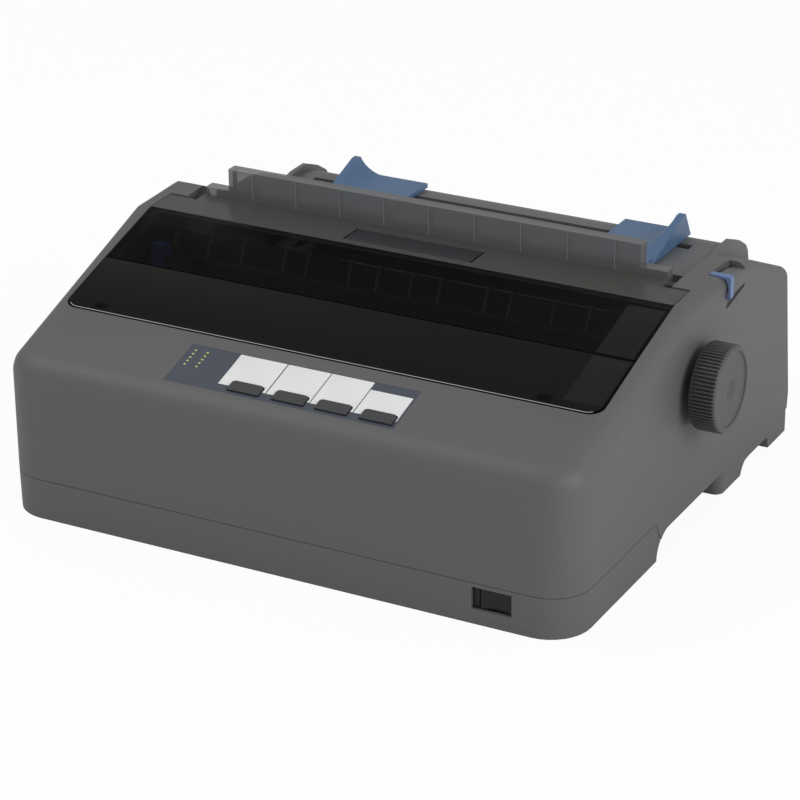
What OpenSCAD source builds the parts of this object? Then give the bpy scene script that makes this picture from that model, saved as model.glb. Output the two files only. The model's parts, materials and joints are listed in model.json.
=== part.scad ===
// Dot matrix printer: an impact printer of the eighty column class with a smoke tinted hinged cover.
// Millimetres, +X to the right as the user faces it, +Y to the back, +Z up, the floor at zero.
// Shapes are drawn from the middle of the body and its front face, and place() shifts them.

/* [Case] */
// Width of the case without the platen knob
body_w = 329; // [322:1:340]
// Depth of the case at the level of the joint between its two halves
body_d = 281; // [279:1:285]
// Height of the top at the crest behind the cover
crest_z = 126.3; // [126:0.1:127]
// Height of the joint between the lower and the upper case
part_z = 22.8; // [22:0.1:24]
// Wall of both case halves
wall = 2.5; // [2:0.1:2.8]
// Radius of the front corners seen from above
corner_r = 22; // [18:1:24]
// Radius of the soft edge between front and top
edge_r = 13; // [11:1:14]
// Radius of the side edges of the top
side_r = 6; // [5:0.5:7]
// Slope of the top under the cover
slope_deg = 15.5; // [15:0.1:15.8]

/* [Cover] */
// Half width of the printer cover
cover_hw = 154; // [152:0.5:155]
// Distance from the front face to the front edge of the cover
cover_y = 48.4; // [47:0.2:50]
// Thickness of the tinted cover
cover_t = 2.8; // [2.4:0.1:3]
// Gap round the cover
cover_gap = 0.5; // [0.4:0.1:0.8]
// Half width of the upright ribbed plate on the cover
plate_hw = 122.8; // [110:1:126]
// Height of the top edge of the ribbed plate
plate_top = 142; // [138:0.5:144]
// Number of ribs on the plate
plate_ribs = 9; // [5:1:11]

/* [Platen] */
// Radius of the rubber platen
platen_r = 12.5; // [12:0.1:12.8]
// Half length of the platen
platen_hl = 128; // [124:1:130]
// Radius of the knob
knob_r = 23.1; // [20:0.1:24]
// Thickness of the knob
knob_t = 14.5; // [12:0.5:15]
// How far the knob reaches past the case
knob_reach = 19; // [17:0.5:21]
// Number of ribs round the knob
knob_ribs = 70; // [40:1:80]
// Radius of the platen shaft
shaft_r = 4; // [3:0.1:4.5]

/* [Carriage] */
// Half of the travel of the carriage
travel = 101; // [90:1:102]
// Radius of the carriage guide rod
rod_r = 4; // [3.5:0.1:4.5]
// Number of teeth of the big gear on the platen shaft
platen_teeth = 40; // [40:1:40]

/* [Paper guide] */
// Height of the flat top of the rear paper guide
guide_z = 119.5; // [119:0.1:120]
// Thickness of the paper guide
guide_t = 2.4; // [2:0.1:2.6]
// Place of the left edge guide
edge_left_x = -80; // [-88:1:-78]
// Place of the right edge guide
edge_right_x = 116; // [112:1:118]

/* [Hidden] */
$fn = 48;

// Colours as the object shows them
case_col = [0.34, 0.34, 0.34];
tint_col = [0.08, 0.08, 0.08, 0.8];
blue_col = [0.28, 0.40, 0.60];
steel_col = [0.70, 0.71, 0.72];
white_col = [0.90, 0.90, 0.88];
black_col = [0.10, 0.10, 0.10];
green_col = [0.10, 0.35, 0.20];

// Clearances
fit = 0.05; // radial, between a shaft and its hole
seat = 0.3; // between faces that move past each other or only rest
eps = 0.01;

// The outer form
bend_y = 137; // where the slope under the cover meets the flat
bend_z = crest_z - 0.8;
crest_y = 172;
// Side edges of the top behind the crest: place from the front and fall below the crest
rear_edge =
    [[crest_y, 0], [190, 0], [199, 0.5], [208, 1.9], [216, 3.9], [224, 7], [body_d - 14.1, 26.1]];
rear_r = 5; // rear corners seen from above
rear_lean = 1.5; // how far the rear face leans in at its foot
low_z = 10; // lowest level that the upper case form is drawn to
side_low_z = 14.2; // lower edge of the side walls behind the first arch
form_fn = 32;
front_ring_z = (bend_z * cos(slope_deg) - bend_y * sin(slope_deg) - edge_r + edge_r * sin(slope_deg))
    / cos(slope_deg);
shift_y = body_d / 2;

// The opening for the cover and the paper guide
cover_u = (cover_y - bend_y) / cos(slope_deg); // along the slope from the bend
cover_end_y = 156.8; // rear edge of the cover beside the riser
opening_end_y = cover_end_y + 1.4;
ledge_w = 4; // ledge that the cover rests on
ledge_t = 2.6;
shoulder_hw = 144; // half width between the side shoulders
guide_start_y = 187;
rear_wall_z = 96; // top of the rear wall, below the paper entry
cover_corner_r = 8;

// Cover riser, ears and hinge
riser_hw = 137.5;
riser_y = 167;
riser_d = 7;
riser_z = 129.5;
cover_axis = [170.5, 120.5]; // y and z of the cover's hinge line
pin_r = 2.2;

// Paper guide hinge
guide_axis = [192, 109.5];
guide_arc_y = 233.2; // where the flat top begins to fall to the back
guide_arc_r = 34;
guide_arc_deg = 60;

// Platen and its neighbours
platen_axis = [145.8, 81.5];
frame_x = 143; // inner face of the side frames
frame_t = 2;
bush_r = 7;
plate_z = 24; // underside of the chassis plate
plate_t = 1.5;
rod_axis = [104, 58];
belt_y = 76;
belt_z = 60;
pulley_x = 122;
pulley_r = 7.3;
belt_t = 1.2;
belt_w = 6;

// Gears: every tooth size comes from the module of its pair
gear_m = 1;
fine_m = 0.8;
small_teeth = 16;
idler_teeth = 24;
tractor_teeth = 30;
big_teeth = 36;
pinion_teeth = 12;
gear_x = -156; // outer face of the main gear layer
gear_t = 5;
fine_t = 3.4;
fine_x = -149.4;
function polar(p, r, a) = [p[0] + r * cos(a), p[1] + r * sin(a)];
reduction_deg = -75; // seen from the right, from the platen to the reduction gear
pinion_deg = -10;
idler_deg = -3.4;
reduction_axis = polar(platen_axis, gear_m * (platen_teeth + small_teeth) / 2, reduction_deg);
pinion_axis = polar(reduction_axis, fine_m * (big_teeth + pinion_teeth) / 2, pinion_deg);
idler_axis = polar(platen_axis, gear_m * (platen_teeth + idler_teeth) / 2, idler_deg);
tractor_axis = polar(idler_axis, gear_m * (idler_teeth + tractor_teeth) / 2, idler_deg);
tractor_rod_axis = [tractor_axis[0] + 20, tractor_axis[1] - 6];
idler_turn = mesh_turn(0, platen_teeth, idler_deg, idler_teeth);
tractor_turn = mesh_turn(idler_turn, idler_teeth, idler_deg, tractor_teeth);
reduction_turn = mesh_turn(0, platen_teeth, reduction_deg, small_teeth);
pinion_turn = mesh_turn(0, big_teeth, pinion_deg, pinion_teeth);
pinch_axis = [150, 63.4];
pinch_r = 5.7;
pinch_x = [-100, -60, -20, 20, 60, 100];
pinch_w = 20;

// Tractors
tractor_x = [-98, 104];
tractor_w = 24;
sprocket_pins = 5;
hole_pitch = 12.7; // pitch of the holes in continuous paper
drum_r = sprocket_pins * hole_pitch / (2 * PI);

// Control panel, in places along the slope
panel_x = [-69, 62.3];
panel_y = [10.2, 39.6];
panel_depth = 0.5;
button_w = 18;
button_x = [-24.2, 1.4, 25.8, 51];
button_y = [12.4, 19.5];
button_rise = 1;
button_travel = 0.8;
window_x = [-40.4, -12.7, 12.3, 36.8, 61];
window_y = [15.4, 39.2, 34];
light_x = [-65, -58];
light_y = [24.4, 27.2, 30, 32.8, 35.6];
light_r = 0.7;
board_depth = 12; // depth of the panel board below the slope
panel_post_y = [7, 43];

// Power switch in the lower case
switch_x = [110, 131.7];
switch_z = [8.4, 20.4];
rocker_w = 13.4;
rocker_h = 10.4;

// Places that repeat
rib_x = [-125, -104, -78, -64, -38, -21, -1, 16, 43, 57, 82, 102];
foot_x = 138;
foot_y = [26, body_d - 20];
post_x = 100;
post_y = [60, 228];

// Helpers
module place() translate([-knob_reach / 2, -shift_y, 0]) children();
// Draws a (y, z) outline from x0 to x1
module along_x(x0, x1) translate([x0, 0, 0]) rotate([90, 0, 90]) linear_extrude(x1 - x0) children();
// Draws an (x, z) outline from y0 to y1
module along_y(y0, y1) translate([0, y1, 0]) rotate([90, 0, 0]) linear_extrude(y1 - y0) children();
module rod_x(x0, x1, p, r) along_x(x0, x1) translate(p) circle(r);
module block(x, y, z) translate([x[0], y[0], z[0]]) cube([x[1] - x[0], y[1] - y[0], z[1] - z[0]]);
// Local frame of the sloping top: x across, y up the slope from the bend, z outwards
module on_slope() translate([0, bend_y, bend_z]) rotate([slope_deg, 0, 0]) children();
function slope_u(y) = (y - bend_y) / cos(slope_deg);
// A rectangle whose two front corners are round
module front_rounded(w, l, r) {
    translate([-w / 2, r]) square([w, l - r]);
    translate([-w / 2 + r, 0]) square([w - 2 * r, r + eps]);
    for (s = [-1, 1]) translate([s * (w / 2 - r), r]) circle(r);
}
module rounded_box_2d(w, h, r) {
    square([w - 2 * r, h], center = true);
    square([w, h - 2 * r], center = true);
    for (sx = [-1, 1], sy = [-1, 1]) translate([sx * (w / 2 - r), sy * (h / 2 - r)]) circle(r);
}
// A gear outline with straight flanks; a tooth points along its first axis before it is turned
module gear_2d(teeth, m, bore, turn = 0) {
    step = 360 / teeth;
    root = m * teeth / 2 - 1.2 * m;
    tip = m * teeth / 2 + 0.85 * m;
    difference() {
        rotate(turn) polygon([
            for (i = [0:teeth - 1], k = [[root, -0.3], [tip, -0.11], [tip, 0.11], [root, 0.3]])
                k[0] * [cos(step * (i + k[1])), sin(step * (i + k[1]))]
        ]);
        circle(bore);
    }
}
// Turn that puts a gap of the second gear where a tooth of the first points
function mesh_turn(first_turn, first_teeth, deg, teeth) =
    deg + 180 + 180 / teeth + (deg - first_turn) * first_teeth / teeth;

// Outer form of the upper case, drawn smaller by the inset on all sides
module upper_form(inset, drop = 0) {
    hull($fn = form_fn) for (s = [-1, 1]) {
        translate([s * (body_w / 2 - corner_r), corner_r, front_ring_z]) rotate_extrude($fn = form_fn)
            intersection() {
                translate([corner_r - edge_r, 0]) circle(edge_r - inset, $fn = form_fn);
                translate([0, -edge_r]) square([corner_r, 2 * edge_r]);
            }
        translate([s * (body_w / 2 - corner_r), corner_r, low_z - drop])
            cylinder(r = corner_r - inset, h = 1, $fn = form_fn);
        translate([s * (body_w / 2 - side_r), bend_y + side_r * tan(slope_deg / 2), bend_z - side_r])
            sphere(side_r - inset, $fn = form_fn);
        for (p = rear_edge) translate([s * (body_w / 2 - side_r), p[0], crest_z - side_r - p[1]])
            sphere(side_r - inset, $fn = form_fn);
        for (p = [[0, part_z], [rear_lean, low_z - drop]])
            translate([s * (body_w / 2 - rear_r), body_d - rear_r - p[0], p[1]])
                cylinder(r = rear_r - inset, h = 1, $fn = form_fn);
    }
}

arch_r = 13.4; // radius of the rise of the first arch
arch_y = 114.2;
arch_base_z = 0.8;

module upper_bottom_cut() {
    along_x(-body_w, body_w) {
        polygon([[-5, -5], [-5, part_z], [97.5, part_z], [105.4, 10.7], [105.4, -5]]);
        translate([arch_y, arch_base_z]) circle(arch_r);
        translate([arch_y, -5]) square([body_d, side_low_z + 5]);
    }
}

module cover_recess() {
    on_slope() translate([0, cover_u - cover_gap, -cover_t - seat])
        linear_extrude(20) front_rounded(2 * (cover_hw + cover_gap), -cover_u + 2, cover_corner_r);
    block([-cover_hw - cover_gap, cover_hw + cover_gap], [bend_y, opening_end_y],
        [bend_z - cover_t - seat, 140]);
}

module top_opening() {
    on_slope() translate([0, cover_u + ledge_w + 1, -40])
        linear_extrude(60) front_rounded(2 * (cover_hw - ledge_w), -cover_u + 2, cover_corner_r);
    block([-cover_hw + ledge_w, cover_hw - ledge_w], [bend_y - 8, opening_end_y - ledge_t], [90, 140]);
    block([-shoulder_hw, shoulder_hw], [bend_y, guide_start_y], [90, 140]);
    block([deck_x, shoulder_hw], [guide_start_y - 1, body_d + 5], [rear_wall_z, 140]);
}

// The left shoulder ends in a round fall to a low deck, which runs to the back beside the paper guide
deck_y = 183;
deck_z = 101;
fall_z = 115; // where the round fall becomes upright
fall_r = 12; // it meets the top at an angle
guide_x = [-117, shoulder_hw - 0.7]; // ends of the paper guide
deck_x = guide_x[0] - 1.5; // right edge of the low deck
liner_y = [guide_start_y, 198]; // the ear that carries the left hinge pin of the paper guide
liner_z = 113.6;
module deck_cut() {
    along_x(-body_w, -shoulder_hw + eps) difference() {
        translate([deck_y - fall_r, deck_z]) square([body_d, 40]);
        translate([deck_y - fall_r - 1, deck_z - 1]) square([fall_r + 1, fall_z - deck_z + 1]);
        translate([deck_y - fall_r, fall_z]) circle(fall_r);
    }
    difference() {
        block([-shoulder_hw, deck_x + eps], [guide_start_y - 1, body_d + 5], [deck_z, 140]);
        block([deck_x - wall, deck_x + 1], liner_y, [deck_z - 1, liner_z]);
    }
}

// Slot and finger recess of the release lever in the right shoulder
lever_x = [155.1, 157.1];
lever_y = [180.8, 185];
lever_slot_y = [179.8, 208];
lever_top = 126.6;
lever_under = 125.2; // underside of the arm, which passes over a shallow track
release_pivot = [183, 42];
module lever_slot() {
    block([lever_x[0] - seat, lever_x[1] + seat], lever_slot_y, [108, 140]);
    along_x(lever_x[0], body_w / 2 + 1) difference() {
        translate([lever_slot_y[0], crest_z - 20]) square([lever_slot_y[1] - lever_slot_y[0], 30]);
        translate(release_pivot) circle(lever_under - release_pivot[1] - seat, $fn = 180);
    }
    along_x(body_w / 2 - 1.6, body_w / 2 + 5)
        polygon([[182, 108], [206, 112.6], [206, 114], [182, 114]]);
}

module panel_recess() on_slope()
    block(panel_x, [slope_u(panel_y[0]), slope_u(panel_y[1])], [-panel_depth, 3]);

module button_holes() on_slope() for (x = button_x)
    translate([x - button_w / 2 - seat, slope_u(button_y[0]) - seat, -12])
        cube([button_w + 2 * seat, slope_u(button_y[1]) - slope_u(button_y[0]) + 2 * seat, 15]);

module light_holes() on_slope() for (x = light_x, y = light_y)
    translate([x, slope_u(y), -4]) cylinder(r = light_r + 0.2, h = 8);

// Sockets in the rear wall, seen from behind: [x from, x to, z from, z to]
board_z = 31; // underside of the boards
board_t = 1.6;
board_top = board_z + board_t;
inlet_box = [-106, -78, board_top + 1.4, board_top + 23.4];
parallel_box = [30, 96, board_top, board_top + 16];
serial_box = [102, 132, board_top, board_top + 12];
usb_box = [8, 20, board_top, board_top + 11];
rear_sockets = [inlet_box, parallel_box, serial_box, usb_box];

// Pins for the cover and the paper guide, sunk into the walls beside them by the root
module hinge_pins(root) {
    for (s = [-1, 1])
        rod_x(s > 0 ? riser_hw - 3.5 : -shoulder_hw - root, s > 0 ? shoulder_hw + root : -riser_hw + 3.5,
            cover_axis, pin_r);
    rod_x(shoulder_hw - 3.4, shoulder_hw + root, guide_axis, pin_r);
    rod_x(deck_x - root, deck_x + 4.2, guide_axis, pin_r);
}
module upper_case() place() color(case_col) difference() {
    union() {
        difference() {
            upper_form(0);
            upper_form(wall, 4);
        }
        intersection() {
            upper_form(0.1);
            union() {
                on_slope() translate([-cover_hw - ledge_w, cover_u - ledge_w, -cover_t - seat - ledge_t])
                    cube([2 * (cover_hw + ledge_w), -cover_u + ledge_w + 1, cover_t + seat + ledge_t]);
                on_slope() for (x = [panel_x[0] + 4, 0, panel_x[1] - 4], y = panel_post_y)
                    translate([x, slope_u(y), -board_depth]) cylinder(r = 3, h = board_depth - 1);
                for (s = [-1, 1]) {
                    side = s > 0 ? [shoulder_hw, body_w / 2] : [-body_w / 2, -shoulder_hw];
                    inner = s > 0 ? [shoulder_hw, shoulder_hw + wall] : [-shoulder_hw - wall,
                        -shoulder_hw];
                    block(side, [bend_y, opening_end_y + wall],
                        [bend_z - cover_t - seat - ledge_t, 130]);
                    block(inner, [opening_end_y, s > 0 ? body_d : deck_y], [rear_wall_z - 6, 130]);
                }
                block([-body_w / 2, -shoulder_hw - wall + eps], [crest_y, deck_y], [deck_z - wall, 130]);
                block([-body_w / 2, deck_x], [deck_y - wall, body_d], [deck_z - wall, deck_z]);
                block([-shoulder_hw - wall, deck_x], [guide_start_y, guide_start_y + wall],
                    [rear_wall_z - 6, deck_z]);
                block([deck_x - wall, deck_x], [guide_start_y, body_d], [rear_wall_z - 6, deck_z]);
                block([deck_x - wall, deck_x], liner_y, [deck_z - wall, liner_z]);
                block([lever_x[0] - 4, body_w / 2], [lever_slot_y[0] - 2, lever_slot_y[1] + 2],
                    [crest_z - 9, crest_z]);
                block([deck_x - wall, shoulder_hw], [body_d - 16, body_d],
                    [rear_wall_z - 3, rear_wall_z]);
            }
        }
        hinge_pins(eps);
    }
    upper_bottom_cut();
    cover_recess();
    difference() {
        top_opening();
        hinge_pins(1);
    }
    deck_cut();
    lever_slot();
    rod_x(body_w / 2 - 4, body_w / 2 + 4, platen_axis, shaft_r + 2);
    panel_recess();
    button_holes();
    light_holes();
    for (q = rear_sockets)
        block([q[0] - seat, q[1] + seat], [body_d - 12, body_d + 5], [q[2] - seat, q[3] + seat]);
}

// Lower case
lower_low_z = 0.2; // lower edge of the skirt
lower_inset = [0.5, 0]; // how far the skirt leans in at the sides and in front
floor_z = [15, 17.5];
// Outline of the two feet of each side, seen from the side
foot_low_z = 0.7;
foot_line =
    [[183.5, foot_low_z], [211.5, foot_low_z], [212.7, 3.2], [214.5, 5.4], [217.2, 7.2], [222.8, 7.8],
    [247, 7.8], [249.5, 6.4], [250.5, foot_low_z], [body_d - 5.5, foot_low_z], [body_d - 2.5, 9],
    [body_d - 1.5, side_low_z - seat], [183.5, side_low_z - seat]];
foot_plan_r = 5;
foot_in_x = foot_x + 9.5; // inner face of the feet, clear of the rubber feet
module lower_form(inset, drop = 0) {
    hull($fn = form_fn) for (s = [-1, 1]) {
        translate([s * (body_w / 2 - corner_r), corner_r, part_z - seat - 1 + drop])
            cylinder(r = corner_r - inset, h = 1, $fn = form_fn);
        translate([s * (body_w / 2 - corner_r - lower_inset[0]), corner_r + lower_inset[1],
            lower_low_z - drop])
            cylinder(r = corner_r - inset, h = 1, $fn = form_fn);
        translate([s * (body_w / 2 - inset - 1) - 1, arch_y - 1, part_z - seat - 1 + drop])
            cube([2, 1, 1]);
        translate([s * (body_w / 2 - lower_inset[0] - inset - 1) - 1, arch_y - 1, lower_low_z - drop])
            cube([2, 1, 1]);
    }
}
module lower_case() place() color(case_col) difference() {
    union() {
        difference() {
            lower_form(0);
            lower_form(wall, 3);
            along_x(-body_w, body_w) {
                polygon([[97.2, 40], [97.2, part_z - seat], [105.1, 10.4], [105.1, -5], [140, -5],
                    [140, 40]]);
                translate([arch_y, arch_base_z]) circle(arch_r);
            }
        }
        intersection() {
            translate([-body_w / 2 + wall + seat, wall + 0.2, floor_z[0]])
                cube([body_w - 2 * wall - 2 * seat, body_d - 2 * wall - 2.5, floor_z[1] - floor_z[0]]);
            upper_form(wall + seat, 2);
        }
        intersection() {
            lower_form(1);
            block([-body_w / 2, body_w / 2], [0, 96], floor_z);
        }
        for (x = [-foot_x, foot_x], y = foot_y) translate([x, y, 3])
            cylinder(r = 10, h = floor_z[0] - 3 + eps);
        for (x = [-post_x, post_x], y = post_y)
            translate([x, y, floor_z[0]]) cylinder(r = 5, h = plate_z - floor_z[0]);
        for (s = [-1, 1]) intersection() {
            along_x(-body_w / 2, body_w / 2) polygon(foot_line);
            translate([s * (foot_in_x + body_w / 2 - 0.4) / 2, (183.5 + body_d - 1.5) / 2, 0])
                linear_extrude(20)
                rounded_box_2d(body_w / 2 - 0.4 - foot_in_x, body_d - 1.5 - 183.5, foot_plan_r);
        }
        block([-body_w / 2 + 4, body_w / 2 - 4], [arch_y + 2, body_d - 8],
            [side_low_z - seat - eps, floor_z[0] + eps]);
        block([-body_w / 2 + 4, body_w / 2 - 4], [96, arch_y + 3], [floor_z[0], floor_z[1]]);
    }
    block(switch_x, [-2, 17], switch_z);
    for (x = [-post_x, post_x], y = post_y) translate([x, y, plate_z - 7]) cylinder(r = 1.6, h = 8);
    for (x = [-60:12:60], y = [150, 205]) block([x - 1.5, x + 1.5], [y, y + 34], [0, 20]);
}
module rubber_feet() place() color(black_col) for (x = [-foot_x, foot_x], y = foot_y) {
    translate([x, y, 0]) cylinder(r1 = 7.4, r2 = 8, h = 3);
}
module chassis_screws() place() color(steel_col) for (x = [-post_x, post_x], y = post_y)
    translate([x, y, 0]) {
    translate([0, 0, plate_z - 6]) cylinder(r = 1.5, h = 6 + plate_t);
    difference() {
        translate([0, 0, plate_z + plate_t]) cylinder(r = 3, h = 2);
        translate([-2, -0.4, plate_z + plate_t + 1]) cube([4, 0.8, 2]);
        translate([-0.4, -2, plate_z + plate_t + 1]) cube([0.8, 4, 2]);
    }
}

// Chassis
sheet_z = plate_z + plate_t;
rail_y = [64, 65.5];
rail_z = 66;
board_posts =
    [[-106, 190], [-26, 190], [-106, 232], [-26, 232], [6, 190], [134, 190], [6, 232], [134, 232]];
module base_plate() place() color(steel_col) difference() {
    union() {
        block([-frame_x - frame_t, frame_x + frame_t], [52, 238], [plate_z, sheet_z]);
        block([-frame_x + 1, frame_x - 1], rail_y, [plate_z, rail_z]);
        for (p = board_posts) translate([p[0], p[1], plate_z]) cylinder(r = 3, h = board_z - plate_z);
        translate([-pulley_x, belt_y, plate_z]) cylinder(r = 5, h = 50 - plate_z);
        translate([-pulley_x, belt_y, plate_z]) cylinder(r = 2.5, h = rail_z - plate_z);
    }
    for (x = [-post_x, post_x], y = post_y) translate([x, y, plate_z - 1]) cylinder(r = 1.6, h = 8);
    for (x = [-90:30:90]) translate([x, 120, plate_z - 1]) cylinder(r = 8, h = 8);
    block([pulley_x - 19, frame_x - 3], [rail_y[0] - 2, rail_y[1] + 2], [sheet_z, 51]);
}
frame_line =
    [[60, sheet_z], [238, sheet_z], [238, 86], [160, 87.5], [156, 91], [156, 108], [145, 108], [138, 96],
    [118, 92], [98, 82], [60, 82]];
module frame_2d() difference() {
    polygon(frame_line);
    translate(platen_axis) circle(bush_r + fit);
    translate(rod_axis) circle(rod_r);
    translate(tractor_axis) circle(3.5 + fit);
    translate(tractor_rod_axis) circle(3);
    translate(pinch_axis) circle(2 + fit);
    translate([80, 50]) circle(12);
    translate([212, 50]) circle(14);
}
lever_pivot = [118, 84];
module frame_left() place() color(steel_col) {
    difference() {
        union() {
            along_x(-frame_x - frame_t, -frame_x) frame_2d();
            block([-frame_x, -frame_x + 10], [100, 150], [sheet_z, sheet_z + 1.5]);
        }
        rod_x(-frame_x - 4, -frame_x + 4, pinion_axis, 5);
    }
    rod_x(gear_x - 1, -frame_x - 1, reduction_axis, 2.5);
    rod_x(gear_x - 1, -frame_x - 1, idler_axis, 3);
    rod_x(-frame_x - 1, -frame_x + 7, lever_pivot, 2);
}
module frame_right() place() color(steel_col) {
    along_x(frame_x, frame_x + frame_t) frame_2d();
    block([frame_x - 10, frame_x], [100, 150], [sheet_z, sheet_z + 1.5]);
    rod_x(frame_x + 1, lever_x[1] + 2, release_pivot, 3);
    rod_x(frame_x + 1, lever_x[0] - 2, release_pivot, 6);
}
module carriage_rod() place() color(steel_col) rod_x(-frame_x - 3, frame_x + 3, rod_axis, rod_r - eps);

// Boards and sockets
board_y = [184, body_d - 14];
socket_y = [body_d - 24, body_d - 2]; // from the inner end of a socket to its face
module main_board() place() {
    color(green_col) difference() {
        block([0, 140], board_y, [board_z, board_top]);
        for (p = board_posts) translate([p[0], p[1], board_z - 1]) cylinder(r = 1.5, h = 4);
    }
    color(black_col)
        for (c = [[20, 196, 30, 14], [60, 192, 22, 22], [92, 198, 34, 14], [24, 222, 24, 8],
            [60, 224, 40, 10]])
            block([c[0], c[0] + c[2]], [c[1], c[1] + c[3]], [board_top - 0.1, board_top + 2.9]);
}
module power_board() place() {
    color(green_col) difference() {
        block([-112, -20], board_y, [board_z, board_top]);
        for (p = board_posts) translate([p[0], p[1], board_z - 1]) cylinder(r = 1.5, h = 4);
    }
    color(black_col) {
        for (p = [[-90, socket_y[0] - 13, 9], [-98, 214, 5], [-84, 218, 4]])
            translate([p[0], p[1], board_top - 0.1]) cylinder(r = p[2], h = 24);
        block([-34, -30], [194, 236], [board_top - 0.1, board_top + 20.4]);
    }
}
module transformer() place() {
    color(steel_col) difference() {
        block([-74, -42], [192, 230], [board_top, board_top + 26.4]);
        block([-66, -50], [190, 232], [board_top + 3.4, board_top + 22.4]);
    }
    color(black_col) block([-66, -50], [188, 234], [board_top + 3.4, board_top + 22.4]);
}
function mid(a) = (a[0] + a[1]) / 2;
// Outline of a socket, drawn smaller by the inset
module socket_2d(q, inset, r) translate([(q[0] + q[1]) / 2, (q[2] + q[3]) / 2])
    rounded_box_2d(q[1] - q[0] - 2 * inset, q[3] - q[2] - 2 * inset, r);
module ac_inlet() place() {
    color(black_col) difference() {
        along_y(socket_y[0], socket_y[1]) socket_2d(inlet_box, 0, 2);
        along_y(socket_y[0] + 6, body_d + 2) socket_2d(inlet_box, 2, 3);
    }
    middle = [mid([inlet_box[0], inlet_box[1]]), mid([inlet_box[2], inlet_box[3]])];
    color(steel_col) for (p = [[-7, -1], [7, -1], [0, 4]])
        block([middle[0] + p[0] - 1, middle[0] + p[0] + 1], [socket_y[0] + 4, socket_y[1] - 4],
            [middle[1] + p[1] - 2.5, middle[1] + p[1] + 2.5]);
}
module parallel_connector() place() {
    color(steel_col) difference() {
        along_y(socket_y[0] - 2, socket_y[1]) socket_2d(parallel_box, 0, 3);
        along_y(socket_y[0] + 10, body_d + 2) socket_2d(parallel_box, 2.2, 2.4);
    }
    z = mid([parallel_box[2], parallel_box[3]]);
    color(black_col)
        block([parallel_box[0] + 8, parallel_box[1] - 8], [socket_y[0] + 9, socket_y[1] - 3],
            [z - 1.1, z + 1.1]);
}
module serial_connector() place() {
    z = mid([serial_box[2], serial_box[3]]);
    color(steel_col) difference() {
        along_y(socket_y[0], socket_y[1]) socket_2d(serial_box, 0, 3);
        along_y(socket_y[1] - 1, body_d + 2) socket_2d(serial_box, 2.5, 2.4);
        for (row = [[5, 7, 1.9], [4, 9, -1.7]], i = [0:row[0] - 1])
            translate([serial_box[0] + row[1] + i * 4, socket_y[1] - 6, z + row[2]])
                rotate([-90, 0, 0]) cylinder(r = 0.6, h = 8);
    }
}
module usb_connector() place() {
    color(steel_col) difference() {
        along_y(socket_y[0], socket_y[1]) socket_2d(usb_box, 0, 1);
        along_y(socket_y[0] + 8, body_d + 2) socket_2d(usb_box, 1.1, 1);
    }
    z = mid([usb_box[2], usb_box[3]]);
    color(white_col)
        block([usb_box[0] + 3.5, usb_box[1] - 3.5], [socket_y[0] + 7, socket_y[1] - 3],
            [z - 1.7, z + 1.7]);
}

// Power switch
rocker_x = [114.1, 128.1];
rocker_z = [9.2, 19.8];
rocker_pivot = [mid(rocker_x), 6.4];
rocker_deg = 5;
module switch_housing() place() color(black_col) difference() {
    union() {
        block([switch_x[0] + 0.1, switch_x[1] - 0.1], [1.9, 5], [switch_z[0] + 0.1, switch_z[1] - 0.1]);
        block([switch_x[0] + 1, switch_x[1] - 1], [4, 16], [switch_z[0] + 0.1, switch_z[1] - 0.1]);
    }
    block([rocker_x[0] - 0.5, rocker_x[1] + 0.5], [-1, 12], [rocker_z[0] - 0.3, rocker_z[1] + 0.3]);
}
module power_rocker() place() color(case_col * 0.5)
    translate([rocker_pivot[0], rocker_pivot[1], 0]) rotate([0, 0, rocker_deg])
        translate([-rocker_pivot[0], -rocker_pivot[1], 0])
    difference() {
        union() {
            block(rocker_x, [1.6, 5.6], rocker_z);
            translate([rocker_pivot[0], rocker_pivot[1], rocker_z[0]])
                cylinder(r = 3, h = rocker_z[1] - rocker_z[0]);
        }
        translate([rocker_pivot[0], -38.2, rocker_z[0] - 1]) cylinder(r = 40.4, h = 20, $fn = 160);
    }

// Control panel
module panel_label() place() color([0.18, 0.22, 0.30]) difference() {
    on_slope() translate([panel_x[0] + 0.1, slope_u(panel_y[0]) + 0.1, -panel_depth])
        cube([panel_x[1] - panel_x[0] - 0.2, slope_u(panel_y[1]) - slope_u(panel_y[0]) - 0.2,
            panel_depth - 0.1]);
    button_holes();
    light_holes();
}
switch_top = 9.8; // depth of the tops of the small switches on the panel board
module panel_board() place() on_slope() {
    color(green_col) translate([panel_x[0], slope_u(4), -board_depth - 1.6])
        cube([panel_x[1] - panel_x[0], slope_u(46) - slope_u(4), 1.6]);
    color(black_col) for (x = button_x)
        translate([x - 3, slope_u(mid(button_y)) - 3, -board_depth - 0.1])
        cube([6, 6, board_depth - switch_top]);
}
module indicator_lights() place() color([0.3, 0.6, 0.3]) on_slope() for (x = light_x, y = light_y)
    translate([x, slope_u(y), -board_depth]) cylinder(r = light_r, h = board_depth - 0.1);
module button_cap(x) place() color([0.2, 0.2, 0.21]) on_slope() {
    u = [slope_u(button_y[0]), slope_u(button_y[1])];
    translate([x, u[0], 0]) {
        translate([0, 0, -7]) linear_extrude(7 + button_rise) {
            translate([-button_w / 2, 0]) square([button_w, u[1] - u[0] - 2]);
            translate([-button_w / 2 + 2, 0]) square([button_w - 4, u[1] - u[0]]);
            for (s = [-1, 1]) translate([s * (button_w / 2 - 2), u[1] - u[0] - 2]) circle(2);
        }
        translate([-button_w / 2 - 1.2, -0.6, -5]) cube([button_w + 2.4, u[1] - u[0] + 1.2, 1.2]);
        translate([0, (u[1] - u[0]) / 2, -switch_top + button_travel + 0.3]) cylinder(r = 2, h = 4);
    }
}
module button_1() button_cap(button_x[0]);
module button_2() button_cap(button_x[1]);
module button_3() button_cap(button_x[2]);
module button_4() button_cap(button_x[3]);

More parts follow.
